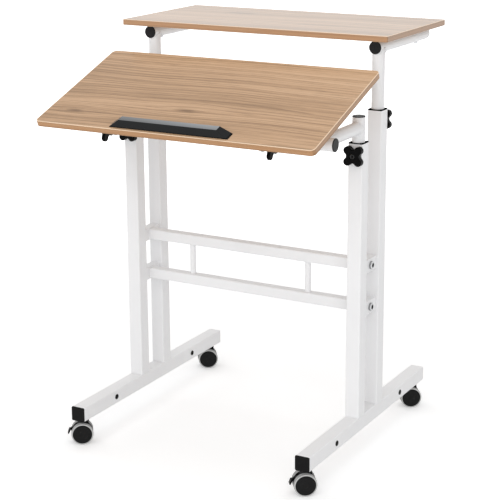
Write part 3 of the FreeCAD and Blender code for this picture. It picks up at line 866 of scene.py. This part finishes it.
    def make(self) -> bpy.types.Material:
        """Make the laminate, with its grain, edge bands with painted shade, and a painted highlight along the
        arris.

        Returns:
            The material.
        """
        material, graph = new_material(self.name)
        place, facing = self._board_space(graph)
        x, y, z = graph.split(place)
        facing_x, _, facing_z = graph.split(facing)
        end_grain = abs(facing_x).above(self.end_facing)
        along = x + (y - x) * end_grain
        across = y + z * self.edge_run + (x - y) * end_grain
        base, fibre, height = self._grain(graph, along, across)
        upright = 1.0 - abs(facing_z).ease(*self.flat_facing)
        # Painted shade on the edge bands: darker towards the top and bottom of each edge face and on the end
        # faces.
        shaded = ((z / (self.thickness / 2.0) + 1.0) ** 2.0 + end_grain * self.end_shade).least(1.0)
        band = graph.mix(shaded, *(self.band.linear(share) for share in self.band_lit_and_shaded_shares))
        base = graph.mix(upright * self.band_weight, base, band)
        # Painted highlight: the outline of the top face and the top strip of the edge faces go pale.
        rim = self._arris_highlight_outline(x, y) * facing_z.ease(*self.flat_facing)
        rim = rim.most(upright * z.above(-self.arris_highlight_drop))
        base = graph.mix(rim * self.arris_highlight_weight, base, self.arris.linear())
        coat: Number = (1.0 - upright) * self.coat if self.coat else 0.0
        graph.surface({"Base Color": base,
                       "Roughness": fibre.about(self.roughness, self.roughness_spread),
                       "Specular IOR Level": self.specular,
                       "Coat Weight": coat, "Coat Roughness": self.coat_roughness,
                       "Normal": graph.bump(height, self.grain_strength, self.grain_depth)})
        return material


class Finish(Enum):
    """The finishes of the desk's own pieces."""

    PAINT = PowderCoat("white_powder_coat", Tint(240, 240, 241))
    BRACKET = PowderCoat("black_bracket_paint", Tint(18, 18, 19), roughness=0.45, specular=0.15)
    BLACK = MouldedPlastic("black_moulded_plastic", Tint(6, 6, 6), roughness=0.36, specular=0.045)
    CAP = MouldedPlastic("tube_cap_plastic", Tint(40, 40, 41), roughness=0.3, specular=0.05)
    BUSH = MouldedPlastic("post_bush_plastic", Tint(5, 5, 5), roughness=0.5, specular=0.0)
    PLUG = MouldedPlastic("knob_plug_plastic", Tint(20, 20, 21), roughness=0.24, specular=0.3)
    COVER = MouldedPlastic("wheel_cover_plastic", Tint(17, 17, 17), roughness=0.36, specular=0.14)
    FOOT_CAP = FootCapPlastic("foot_cap_plastic", front=Tint(13, 13, 13), rear=Tint(234, 234, 234))
    # The book stop's top colour is a painted reflection and its foot colour a painted shade line.
    STOP = StopPlastic("book_stop_plastic", "desktop_board", side=Tint(29, 30, 31), foot=Tint(2, 2, 2),
                       top=Tint(106, 109, 112))
    TREAD = TreadRubber("grey_wheel_tread", Tint(202, 202, 201), "front_left_wheel_a")
    ZINC = ZincPlate("bright_zinc", Tint(196, 198, 201))
    BOLT = SocketBoltZinc("button_head_zinc", "crossbar_bolts", tint=Tint(206, 207, 209),
                          shade=Tint(24, 24, 26), socket_radius=0.0046, rim_radius=0.0077)
    SHELF = WoodLaminate("shelf_laminate", "upper_shelf", tilt=0.0, depth=0.293, corner_radius=0.004,
                         knots=(Knot(-0.13, 0.2, 0.07, 0.018),), seed=4.7, specular=0.5, coat=0.42,
                         lightness=0.55, painted_shade_slope=0.0)
    DESK = WoodLaminate("desktop_laminate", "desktop_board", tilt=DESK_TILT, depth=0.295, corner_radius=0.01,
                        knots=(Knot(-0.009, 0.089, 0.06, 0.016), Knot(-0.239, 0.051, 0.04, 0.012)),
                        seed=1.3, specular=0.22, coat=0.0, lightness=0.67, painted_shade_slope=0.3)


class FinishRack:
    """Makes each finish once and hands it out."""

    def __init__(self) -> None:
        """Start with no material made."""
        self._made: dict[Finish, bpy.types.Material] = {}

    def get(self, finish: Finish) -> bpy.types.Material:
        """Hand out a finish, made on first use.

        Args:
            finish: the finish that is wanted.

        Returns:
            Its material.
        """
        if finish not in self._made:
            self._made[finish] = finish.value.make()
        return self._made[finish]

    def dress(self, finish: Finish, *nodes: str) -> None:
        """Give solids of the frame their finish.

        Args:
            finish: what they are made of.
            nodes: the solids' names.
        """
        for node in nodes:
            mesh = frame["nodes"][node].data
            mesh.materials.clear()
            mesh.materials.append(self.get(finish))
            LOG.info("%s dressed in %s", node, finish.name.lower())


# Shapes

def middle_of(node: str) -> Vector:
    """Return the middle of a solid's box."""
    low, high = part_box(node)
    return (low + high) / 2.0


def turn_between(start: Vector, end: Vector) -> Matrix:
    """Return the turn that brings one direction to another."""
    return start.rotation_difference(end).to_matrix().to_4x4()


def finish_piece(name: str, shape: bmesh.types.BMesh, materials: Sequence[bpy.types.Material],
                 body: str) -> bpy.types.Object:
    """Turn a bmesh into an object that rides on a body.

    Args:
        name: the piece's name.
        shape: its bmesh, in place.
        materials: its materials, by face index.
        body: the body that carries it.

    Returns:
        The new object.
    """
    bmesh.ops.recalc_face_normals(shape, faces=shape.faces)
    data = bpy.data.meshes.new(name)
    shape.to_mesh(data)
    shape.free()
    for material in materials:
        data.materials.append(material)
    piece = bpy.data.objects.new(name, data)
    bpy.context.scene.collection.objects.link(piece)
    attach(piece, body)
    LOG.info("%s: %d faces on %s", name, len(data.polygons), body)
    return piece


def spin_outline(shape: bmesh.types.BMesh, outline: Outline, closed: bool, material: int, steps: int) -> None:
    """Spin an outline of radius and axial place about the Y axis.

    Args:
        shape: the bmesh that takes the faces.
        outline: radius and axial place in millimetres.
        closed: whether the outline's last point joins its first.
        material: material index of the new faces.
        steps: faces round the axis.
    """
    old_faces = set(shape.faces)
    points = [shape.verts.new((radius * MM, axial * MM, 0.0)) for radius, axial in outline]
    pairs = list(zip(points, points[1:])) + ([(points[-1], points[0])] if closed else [])
    edges = [shape.edges.new(pair) for pair in pairs]
    bmesh.ops.spin(shape, geom=points + edges, cent=(0.0, 0.0, 0.0), axis=BACK, dvec=(0.0, 0.0, 0.0),
                   angle=2.0 * math.pi, steps=steps, use_merge=True, use_duplicate=False)
    for face in shape.faces:
        if face not in old_faces:
            face.material_index = material
            face.smooth = True


def set_on_axis(shape: bmesh.types.BMesh, place: Vector, axis: Vector) -> None:
    """Close the poles of a spun shape and move it from the Y axis to its own.

    Args:
        shape: the spun bmesh.
        place: where its origin goes.
        axis: direction of its axis.
    """
    bmesh.ops.remove_doubles(shape, verts=shape.verts, dist=MERGE_REACH)
    bmesh.ops.transform(shape, matrix=Matrix.Translation(place) @ turn_between(BACK, axis), verts=shape.verts)


@dataclass(frozen=True)
class WeldBead:
    """A rippled weld bead, swept along a line of points by extruding a small ring."""

    radius: float = 0.0016
    ripple: float = 0.16
    pitch: float = 0.0013
    sides: int = 8
    end_swell: float = 0.6
    saddle_girth: float = 2.4

    def _points_for(self, length: float) -> int:
        """Return how many points give two to each ripple, an even number."""
        return 2 * max(3, round(length / self.pitch))

    def straight(self, shape: bmesh.types.BMesh, start: Vector, end: Vector) -> None:
        """Lay a bead along a straight corner.

        Args:
            shape: the bmesh that takes the faces.
            start: its first point.
            end: its last point.
        """
        count = self._points_for((end - start).length)
        self._sweep(shape, [start.lerp(end, step / count) for step in range(count + 1)], False)

    def ring(self, shape: bmesh.types.BMesh, centre: Vector, radius: float) -> None:
        """Lay a bead round an upright rod.

        Args:
            shape: the bmesh that takes the faces.
            centre: middle of the ring.
            radius: the rod's radius.
        """
        count = self._points_for(2.0 * math.pi * radius)
        angles = [2.0 * math.pi * step / count for step in range(count)]
        points = [centre + Vector((math.cos(angle), math.sin(angle), 0.0)) * radius for angle in angles]
        self._sweep(shape, points, True)

    def saddle(self, shape: bmesh.types.BMesh, centre: Vector, main: Vector, branch: Vector,
               radius: float) -> None:
        """Lay a bead where one tube ends on the side of another of the same size.

        Args:
            shape: the bmesh that takes the faces.
            centre: place on the main tube's axis that the branch points at.
            main: direction of the main tube.
            branch: direction in which the branch leaves it.
            radius: radius of both tubes.
        """
        beside = main.cross(branch)
        count = self._points_for(self.saddle_girth * math.pi * radius)
        points = []
        for step in range(count):
            angle = 2.0 * math.pi * step / count
            rise = math.sqrt((radius * math.sin(angle)) ** 2 + self.radius ** 2)
            points.append(centre + branch * rise + beside * (radius * math.cos(angle))
                          + main * (radius * math.sin(angle)))
        self._sweep(shape, points, True)

    def _sweep(self, shape: bmesh.types.BMesh, points: Sequence[Vector], closed: bool) -> None:
        """Extrude a ring along points, swelling at every other one.

        Args:
            shape: the bmesh that takes the faces.
            points: the bead's middle line.
            closed: whether the last point leads back to the first.
        """
        count = len(points)
        headings = []
        swells = []
        for index in range(count):
            before = points[index - 1] if closed or index else points[0]
            after = points[(index + 1) % count] if closed or index + 1 < count else points[-1]
            headings.append((after - before).normalized())
            at_end = not closed and index in (0, count - 1)
            swells.append(self.end_swell if at_end else 1.0 + self.ripple * (1 if index % 2 else -1))
        ring = bmesh.ops.create_circle(
            shape, cap_ends=not closed, segments=self.sides, radius=self.radius * swells[0],
            matrix=Matrix.Translation(points[0]) @ turn_between(UP, headings[0]))
        first_edges = list({edge for vert in ring["verts"] for edge in vert.link_edges})
        edges = first_edges
        for index in range(1, count):
            grown = bmesh.ops.extrude_edge_only(shape, edges=edges)["geom"]
            verts = [item for item in grown if isinstance(item, bmesh.types.BMVert)]
            fresh = set(verts)
            edges = [item for item in grown
                     if isinstance(item, bmesh.types.BMEdge) and set(item.verts) <= fresh]
            bend = turn_between(headings[index - 1], headings[index])
            scale = Matrix.Scale(swells[index] / swells[index - 1], 4)
            step = Matrix.Translation(points[index]) @ bend @ scale @ Matrix.Translation(-points[index - 1])
            bmesh.ops.transform(shape, matrix=step, verts=verts)
        if closed:
            bmesh.ops.bridge_loops(shape, edges=first_edges + edges)
        else:
            bmesh.ops.edgeloop_fill(shape, edges=edges)
        for face in shape.faces:
            face.smooth = True


# Sub-assemblies

@dataclass
class StandingFrame:
    """White tube frame with its bolts, caps, bushes and welds."""

    painted: tuple[str, ...] = (
        "left_foot", "right_foot", "left_front_post", "left_rear_post", "right_front_post", "right_rear_post",
        "upper_crossbar", "lower_crossbar", "crossbar_rods", "post_spacers")
    zinc: tuple[str, ...] = ("knob_nuts", "caster_stems")
    post_bead: WeldBead = WeldBead()
    post_inset: float = 0.003
    rod_bead: WeldBead = WeldBead(radius=0.001)
    rod_radius: float = 0.006

    def build(self, rack: FinishRack) -> None:
        """Dress the frame's solids and lay its welds.

        Args:
            rack: where the finishes come from.
        """
        rack.dress(Finish.PAINT, *self.painted)
        rack.dress(Finish.ZINC, *self.zinc)
        rack.dress(Finish.BLACK, "foot_hole_plugs")
        rack.dress(Finish.BUSH, "post_bushes")
        rack.dress(Finish.BOLT, "crossbar_bolts")
        rack.dress(Finish.FOOT_CAP, "foot_end_caps")
        self._post_welds(rack)
        self._rod_welds(rack)

    def _post_welds(self, rack: FinishRack) -> None:
        """Lay a bead along the front and back of each post's foot.

        Args:
            rack: where the finishes come from.
        """
        shape = bmesh.new()
        for side in SIDES:
            foot_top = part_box(side + "_foot")[1].z
            for end in ("front", "rear"):
                low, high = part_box(f"{side}_{end}_post")
                for y in (low.y, high.y):
                    self.post_bead.straight(shape, Vector((low.x + self.post_inset, y, foot_top)),
                                            Vector((high.x - self.post_inset, y, foot_top)))
        finish_piece("post_foot_welds", shape, [rack.get(Finish.PAINT)], "frame")

    def _rod_welds(self, rack: FinishRack) -> None:
        """Lay a bead round both ends of each rod.

        Args:
            rack: where the finishes come from.
        """
        shape = bmesh.new()
        low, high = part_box("crossbar_rods")
        for x in (low.x + self.rod_radius, high.x - self.rod_radius):
            for z in (low.z, high.z):
                self.rod_bead.ring(shape, Vector((x, (low.y + high.y) / 2.0, z)), self.rod_radius)
        finish_piece("rod_welds", shape, [rack.get(Finish.PAINT)], "frame")


@dataclass
class ShelfLift:
    """Upper shelf on its rails and rear riser tubes."""

    painted: tuple[str, ...] = ("left_rear_riser", "right_rear_riser", "left_shelf_rail", "right_shelf_rail")
    bead: WeldBead = WeldBead()

    def build(self, rack: FinishRack) -> None:
        """Dress the shelf, rails and risers and weld the risers to the rails.

        Args:
            rack: where the finishes come from.
        """
        rack.dress(Finish.PAINT, *self.painted)
        rack.dress(Finish.CAP, "shelf_rail_caps")
        rack.dress(Finish.SHELF, "upper_shelf")
        rack.dress(Finish.ZINC, "shelf_screws")
        shape = bmesh.new()
        for side in SIDES:
            riser = middle_of(side + "_rear_riser")
            low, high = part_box(side + "_shelf_rail")
            radius = (high.x - low.x) / 2.0
            self.bead.saddle(shape, Vector((riser.x, riser.y, low.z + radius)), BACK, -UP, radius)
        finish_piece("rail_riser_welds", shape, [rack.get(Finish.PAINT)], "shelf_lift")


@dataclass
class DeskLift:
    """Front riser tubes, arms and cross tube that carry the tilting desktop."""

    painted: tuple[str, ...] = (
        "left_front_riser", "right_front_riser", "left_arm", "right_arm", "cross_tube", "hinge_tabs")
    bead: WeldBead = WeldBead(radius=0.0011, pitch=0.0011)

    def build(self, rack: FinishRack) -> None:
        """Dress the tubes and weld the arms to the risers and the cross tube.

        Args:
            rack: where the finishes come from.
        """
        rack.dress(Finish.PAINT, *self.painted)
        rack.dress(Finish.CAP, "lift_tube_caps")
        rack.dress(Finish.ZINC, "hinge_bolts")
        shape = bmesh.new()
        tube = middle_of("cross_tube")
        for side in SIDES:
            arm = middle_of(side + "_arm")
            riser = middle_of(side + "_front_riser")
            low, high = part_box(side + "_arm")
            radius = (high.x - low.x) / 2.0
            self.bead.saddle(shape, Vector((riser.x, riser.y, arm.z)), UP, -BACK, radius)
            self.bead.saddle(shape, Vector((arm.x, tube.y, tube.z)), RIGHT, BACK, radius)
        finish_piece("arm_welds", shape, [rack.get(Finish.PAINT)], "desk_lift")


@dataclass
class Desktop:
    """Tilting wood-grain board with its stop, brackets and screws."""

    brackets: tuple[str, ...] = ("left_tilt_bracket", "right_tilt_bracket")

    def build(self, rack: FinishRack) -> None:
        """Dress the board and what is fixed to it.

        Args:
            rack: where the finishes come from.
        """
        rack.dress(Finish.DESK, "desktop_board")
        rack.dress(Finish.STOP, "book_stop")
        rack.dress(Finish.ZINC, "desktop_screws")
        rack.dress(Finish.BRACKET, *self.brackets)


@dataclass
class StarKnobs:
    """Clamp knobs on the posts and lock knobs of the tilt, each with a moulded centre plug."""

    knobs: tuple[tuple[str, Vector], ...] = (
        ("left_front_knob", -BACK), ("right_front_knob", -BACK), ("left_rear_knob", BACK),
        ("right_rear_knob", BACK), ("left_tilt_knob", -RIGHT), ("right_tilt_knob", RIGHT))
    plug: Outline = (
        (0.0, -1.1), (1.9, -1.1), (2.3, -0.9), (2.7, -0.5), (3.1, -0.2), (3.6, -0.1), (4.2, -0.15),
        (4.7, -0.4), (4.95, -0.8), (5.0, -1.2))
    steps: int = 40

    def build(self, rack: FinishRack) -> None:
        """Dress the knobs and set a plug in each one's dish.

        Args:
            rack: where the finishes come from.
        """
        for name, outward in self.knobs:
            rack.dress(Finish.BLACK, name)
            low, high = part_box(name)
            half = abs((high - low).dot(outward)) / 2.0
            shape = bmesh.new()
            spin_outline(shape, self.plug, False, 0, self.steps)
            set_on_axis(shape, middle_of(name) + outward * half, outward)
            finish_piece(name + "_plug", shape, [rack.get(Finish.PLUG)], name)


@dataclass
class TwinCasters:
    """Four twin-wheel casters: hood, axle and brake lever dressed, wheels remade with tread and cover."""

    steps: int = 72
    tread: Outline = (
        (19.75, 6.9), (20.9, 6.5), (21.9, 6.7), (22.4, 7.3), (22.6, 8.3), (22.6, 11.2), (22.3, 11.5),
        (22.3, 12.0), (22.6, 12.3), (22.6, 15.0), (22.4, 16.1), (21.9, 16.8), (20.9, 17.0), (19.75, 16.7))
    cover: Outline = (
        (0.0, 14.0), (3.1, 14.0), (3.1, 6.6), (6.0, 6.6), (6.6, 7.6), (18.6, 7.6), (19.7, 7.0), (19.7, 16.6),
        (19.4, 17.1), (18.6, 17.35), (17.6, 17.3), (17.3, 17.05), (16.8, 17.05), (16.4, 17.25), (6.6, 17.4),
        (6.3, 17.2), (5.8, 17.2), (5.5, 17.4), (0.0, 17.4))
    corners: tuple[str, ...] = ("front_left", "front_right", "rear_left", "rear_right")

    def _wheel(self, face: int, node: str) -> bmesh.types.BMesh:
        """Make one wheel in place, on its joint's axis.

        Args:
            face: 1 or -1, the side of the hood it is on.
            node: the wheel that it stands for.

        Returns:
            The wheel's bmesh.
        """
        joint = JOINTS[node + "_roll"]
        shape = bmesh.new()
        spin_outline(shape, self.tread, True, 0, self.steps)
        spin_outline(shape, self.cover, False, 1, self.steps)
        set_on_axis(shape, Vector(joint["pos_m"]), Vector(joint["axis"]) * face)
        return shape

    def build(self, rack: FinishRack) -> None:
        """Dress the hoods, axles and levers and make the wheels.

        Args:
            rack: where the finishes come from.
        """
        for corner in self.corners:
            rack.dress(Finish.BLACK, corner + "_caster_housing")
            rack.dress(Finish.ZINC, corner + "_caster_axle")
            if corner + "_brake_lever" in frame["nodes"]:
                rack.dress(Finish.BLACK, corner + "_brake_lever")
            for letter, face in (("a", 1), ("b", -1)):
                node = f"{corner}_wheel_{letter}"
                materials = [rack.get(Finish.TREAD), rack.get(Finish.COVER)]
                piece = finish_piece(node + "_tread_and_cover", self._wheel(face, node), materials, node)
                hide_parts(node)


# Studio

@dataclass(frozen=True)
class Softbox:
    """A plain rectangular lamp aimed at a point."""

    name: str
    place: Point
    target: Point
    width: float
    height: float
    watts: float


@dataclass
class Studio:
    """White sweep, soft lamps and the camera."""

    camera_place: Point = (1.410788, -2.520182, 1.211593)
    camera_turn: float = math.radians(29.143)
    camera_pitch: float = math.radians(14.571)
    camera_roll: float = math.radians(0.309)
    focal_pixels: float = 1465.46
    image_side: float = 500.0
    centre_row: float = 215.0
    sensor_width: float = 36.0
    clip_end: float = 60.0
    floor_half: float = 12.0
    paper: Colour = (0.86, 0.86, 0.86, 1.0)
    near_glow: float = 0.3
    glow_start: float = 0.7
    glow_end: float = 3.0
    world_light: float = 0.65
    lamps: tuple[Softbox, ...] = (
        Softbox("front_softbox", (1.1, -3.2, 1.8), (0.0, -0.05, 0.5), 4.4, 3.5, 61.0),
        Softbox("left_softbox", (-3.2, 0.7, 1.7), (0.0, 0.0, 0.5), 2.0, 1.8, 12.0),
        Softbox("top_softbox", (0.0, 0.3, 3.2), (0.0, 0.0, 0.4), 2.4, 2.4, 18.0))

    def build(self) -> None:
        """Make the floor, world, lamps and camera."""
        self._floor()
        self._world()
        for lamp in self.lamps:
            self._lamp(lamp)
        self._camera()

    @staticmethod
    def _seen(graph: Graph) -> Wire:
        """Tell the rays that see the background: from the camera, a reflection or through glass.

        Args:
            graph: the graph of the floor or the world.

        Returns:
            1 on such rays and 0 on others.
        """
        outputs = graph.node("ShaderNodeLightPath").socket.node.outputs
        straight = Wire(graph, outputs["Is Camera Ray"])
        glossy = Wire(graph, outputs["Is Glossy Ray"])
        return straight.most(glossy).most(Wire(graph, outputs["Is Transmission Ray"]))

    def _floor(self) -> None:
        """Make a white floor that keeps the shadow and goes over into the white behind it."""
        shape = bmesh.new()
        bmesh.ops.create_grid(shape, x_segments=1, y_segments=1, size=self.floor_half)
        data = bpy.data.meshes.new("studio_floor")
        shape.to_mesh(data)
        shape.free()
        material, graph = new_material("studio_floor_paper")
        x, y, _ = graph.split(graph.place())
        far = (x ** 2.0 + y ** 2.0).root().ease(self.glow_start, self.glow_end)
        strength = self._seen(graph) * (self.near_glow + (1.0 - self.near_glow) * far)
        paper = graph.node("ShaderNodeBsdfDiffuse", None, {"Color": self.paper})
        glow = graph.node("ShaderNodeEmission", None, {"Color": WHITE, "Strength": strength})
        graph.close(graph.node("ShaderNodeAddShader", None, {0: paper, 1: glow}))
        data.materials.append(material)
        floor = bpy.data.objects.new("studio_floor", data)
        bpy.context.scene.collection.objects.link(floor)
        LOG.info("studio floor")

    def _world(self) -> None:
        """Light the scene evenly and show white behind it."""
        world = bpy.data.worlds.new("studio_world")
        bpy.context.scene.world = world
        world.use_nodes = True
        graph = Graph(world.node_tree)
        strength = self.world_light + (1.0 - self.world_light) * self._seen(graph)
        back = graph.node("ShaderNodeBackground", None, {"Color": WHITE, "Strength": strength})
        graph.close(back, "ShaderNodeOutputWorld")

    def _lamp(self, lamp: Softbox) -> None:
        """Make one lamp, kept out of reflections, which show the white surround instead.

        Args:
            lamp: its place, aim, size and power.
        """
        data = bpy.data.lights.new(lamp.name, "AREA")
        data.shape = "RECTANGLE"
        data.size = lamp.width
        data.size_y = lamp.height
        data.energy = lamp.watts
        light = bpy.data.objects.new(lamp.name, data)
        aim = Vector(lamp.target) - Vector(lamp.place)
        light.location = lamp.place
        light.rotation_mode = "QUATERNION"
        light.rotation_quaternion = aim.to_track_quat("-Z", "Y")
        light.visible_glossy = False
        bpy.context.scene.collection.objects.link(light)
        LOG.info("lamp %s", lamp.name)

    def _camera(self) -> None:
        """Make the camera at the photograph's place and angle."""
        data = bpy.data.cameras.new("camera")
        data.sensor_width = self.sensor_width
        data.lens = self.focal_pixels / self.image_side * data.sensor_width
        data.shift_y = (self.centre_row - self.image_side / 2.0) / self.image_side
        data.clip_end = self.clip_end
        camera = bpy.data.objects.new("camera", data)
        turn = Matrix.Rotation(self.camera_turn, 4, "Z")
        pitch = Matrix.Rotation(math.pi / 2.0 - self.camera_pitch, 4, "X")
        roll = Matrix.Rotation(-self.camera_roll, 4, "Z")
        camera.matrix_world = Matrix.Translation(self.camera_place) @ turn @ pitch @ roll
        bpy.context.scene.collection.objects.link(camera)
        bpy.context.scene.camera = camera
        bpy.context.scene.view_settings.view_transform = "Standard"
        LOG.info("camera")


def write_sizes() -> None:
    """Update the view layer."""
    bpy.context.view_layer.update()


def main() -> None:
    """Build every sub-assembly in order."""
    logging.basicConfig(level=logging.INFO, format="%(name)s: %(message)s")
    rack = FinishRack()
    for assembly in (StandingFrame(), ShelfLift(), DeskLift(), Desktop(), StarKnobs(), TwinCasters()):
        assembly.build(rack)
    Studio().build()
    bpy.context.view_layer.update()
    write_sizes()


if __name__ == "__main__":
    main()
